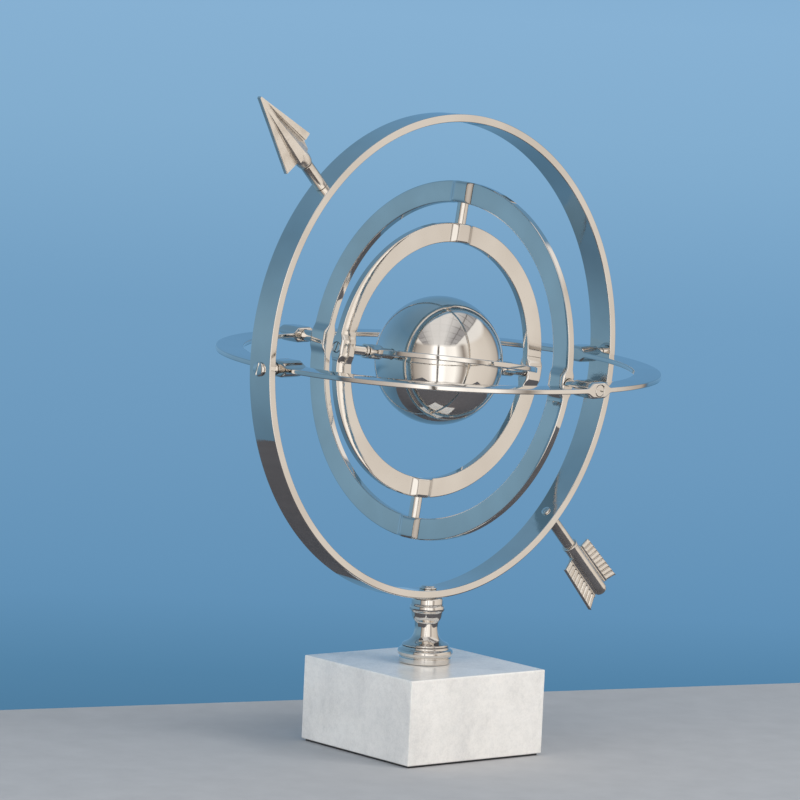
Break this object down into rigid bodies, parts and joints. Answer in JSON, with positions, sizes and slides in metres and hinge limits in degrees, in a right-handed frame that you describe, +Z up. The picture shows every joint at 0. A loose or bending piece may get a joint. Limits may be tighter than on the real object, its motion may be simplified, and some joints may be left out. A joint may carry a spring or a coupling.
{
  "type": "armillary sphere",
  "caption": "Desk armillary sphere: rings nested in a fixed hoop, each turning on pins around a hollow ball, with an arrow through the hoop, on a turned stem and a stone block.",
  "frame": {"origin": "centre of the underside of the felt pad", "axes": "+Z up through the stem and the hoop; the hoop lies in the XZ plane, with the arrow head up and towards -X"},
  "size_m": [0.4693, 0.3936, 0.5778],
  "materials": {
    "polished_nickel": "polished nickel plate",
    "cast_nickel": "satin nickel plate on a cast surface",
    "plain_steel": "plain hidden hardware",
    "marble": "honed and polished pale marble",
    "felt": "dark felt pad"
  },
  "bodies": {
    "stand": {"base_block": "marble", "base_pad": "felt", "base_bolt": "plain_steel", "base_washer": "plain_steel", "stem_foot": "polished_nickel", "stem_column": "polished_nickel", "hoop": "polished_nickel", "hoop_bolt": "polished_nickel", "hoop_pin_left": "polished_nickel", "hoop_pin_right": "polished_nickel", "hoop_screw_left": "polished_nickel", "hoop_screw_right": "polished_nickel", "arrow_head": "cast_nickel", "arrow_shaft": "cast_nickel", "arrow_shaft_screw": "polished_nickel", "tail_body": "cast_nickel", "tail_shaft": "cast_nickel", "tail_shaft_screw": "polished_nickel", "tail_vane_lower": "cast_nickel", "tail_vane_upper": "cast_nickel"},
    "ring_1": {"ring_1_horizon": "polished_nickel", "front_pin": "polished_nickel", "back_pin": "polished_nickel"},
    "ring_2": {"ring_2_upright": "polished_nickel", "upper_pin": "polished_nickel", "lower_pin": "polished_nickel"},
    "ring_3": {"ring_3_upright": "polished_nickel", "axle_pin_left": "polished_nickel", "axle_pin_right": "polished_nickel", "axle_collar_inner_left": "polished_nickel", "axle_collar_inner_right": "polished_nickel", "axle_collar_outer_left": "polished_nickel", "axle_collar_outer_right": "polished_nickel"},
    "ring_4": {"ring_4_equator": "polished_nickel"},
    "ball": {"sphere_shell": "polished_nickel", "sphere_axle_tube": "plain_steel"}
  },
  "joints": [
    {"name": "ring_1_turn", "type": "hinge", "parent": "stand", "child": "ring_1", "pos_m": [0, 0, 0.3464], "axis": [1, 0, 0], "continuous": true},
    {"name": "ring_2_turn", "type": "hinge", "parent": "ring_1", "child": "ring_2", "pos_m": [0, 0, 0.3464], "axis": [0, 0.9995, 0.0332], "continuous": true},
    {"name": "ring_3_turn", "type": "hinge", "parent": "ring_2", "child": "ring_3", "pos_m": [0, 0, 0.3464], "axis": [0.1236, -0.0329, 0.9918], "continuous": true},
    {"name": "ring_4_turn", "type": "hinge", "parent": "ring_3", "child": "ring_4", "pos_m": [0, 0, 0.3464], "axis": [0.9915, -0.036, -0.1248], "continuous": true},
    {"name": "ball_turn", "type": "hinge", "parent": "ring_3", "child": "ball", "pos_m": [0, 0, 0.3464], "axis": [0.9915, -0.036, -0.1248], "continuous": true}
  ]
}
